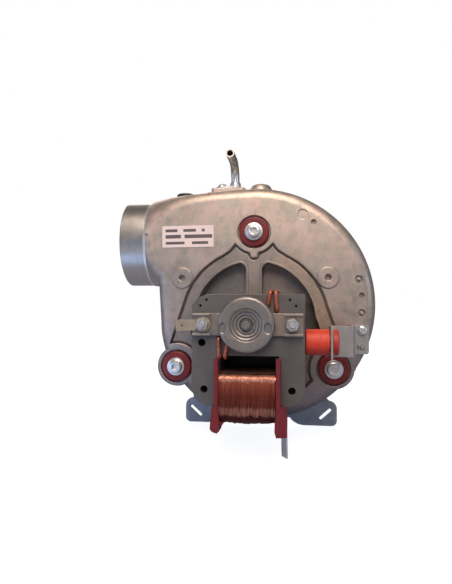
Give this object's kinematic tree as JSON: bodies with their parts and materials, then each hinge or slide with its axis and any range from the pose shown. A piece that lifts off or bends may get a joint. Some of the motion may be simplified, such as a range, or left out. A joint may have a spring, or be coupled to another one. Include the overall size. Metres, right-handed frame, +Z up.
{
  "type": "combustion fan",
  "caption": "Centrifugal combustion fan: die-cast scroll with a round flue spigot, shaded-pole motor hung in rubber bushes, closed impeller, slotted mounting feet.",
  "frame": {"origin": "Centre of the round air inlet, on the shaft's axis, in the plane of the mounting plate's back face.", "axes": "+X is to the right seen from the motor's side, so the flue spigot points to -X. +Y points along the shaft from the motor to the inlet. +Z is up, with the feet below."},
  "size_m": [0.1712, 0.1197, 0.1949],
  "materials": {
    "die_cast": "die-cast, dull",
    "plate_steel": "zinc-coated sheet",
    "lamination": "dull stacked steel sheet",
    "zinc": "bright zinc plate",
    "steel": "turned steel",
    "copper": "enamelled copper",
    "red_silicone": "matt",
    "orange_silicone": "satin",
    "red_plastic": "moulded",
    "black_rubber": "matt",
    "brass": "tinned",
    "paper": "matt",
    "nylon": "moulded"
  },
  "bodies": {
    "stator": {"volute_housing": "die_cast", "rear_plate": "plate_steel", "motor_carrier": "die_cast", "plate_screw_1": "zinc", "plate_screw_2": "zinc", "plate_screw_3": "zinc", "plate_screw_4": "zinc", "plate_screw_5": "zinc", "bush_top": "red_silicone", "bush_left": "red_silicone", "bush_right": "red_silicone", "bush_sleeve_top": "steel", "bush_sleeve_left": "steel", "bush_sleeve_right": "steel", "bush_screw_top": "zinc", "bush_screw_left": "zinc", "bush_screw_right": "zinc", "stator_core": "lamination", "stator_limb": "lamination", "bobbin": "red_plastic", "coil": "copper", "terminal_right": "zinc", "terminal_left": "zinc", "shading_ring_upper_inner": "copper", "shading_ring_upper_outer": "copper", "shading_ring_lower_inner": "copper", "shading_ring_lower_outer": "copper", "bearing_bridge_front": "die_cast", "bearing_bridge_rear": "die_cast", "bearing_front": "steel", "bearing_rear": "steel", "bearing_cap_front": "steel", "bearing_cap_rear": "steel", "motor_stud_left": "zinc", "motor_stud_right": "zinc", "stud_spacer_left": "steel", "stud_spacer_right": "steel", "motor_nut_left": "zinc", "motor_nut_right": "zinc", "stud_washer": "zinc", "earth_tab": "brass", "buffer_bracket": "zinc", "buffer": "orange_silicone", "bracket_screw": "zinc", "pressure_tube": "steel", "tap_screw": "zinc", "blanking_plug": "black_rubber", "label": "paper"},
    "rotor": {"shaft": "steel", "rotor_cage": "lamination", "cooling_fan": "nylon", "impeller": "zinc", "impeller_hub": "steel", "impeller_nut": "zinc"}
  },
  "joints": [
    {"name": "rotor_spin", "type": "hinge", "parent": "stator", "child": "rotor", "pos_m": [0, 0, 0], "axis": [0, -1, 0], "continuous": true}
  ]
}
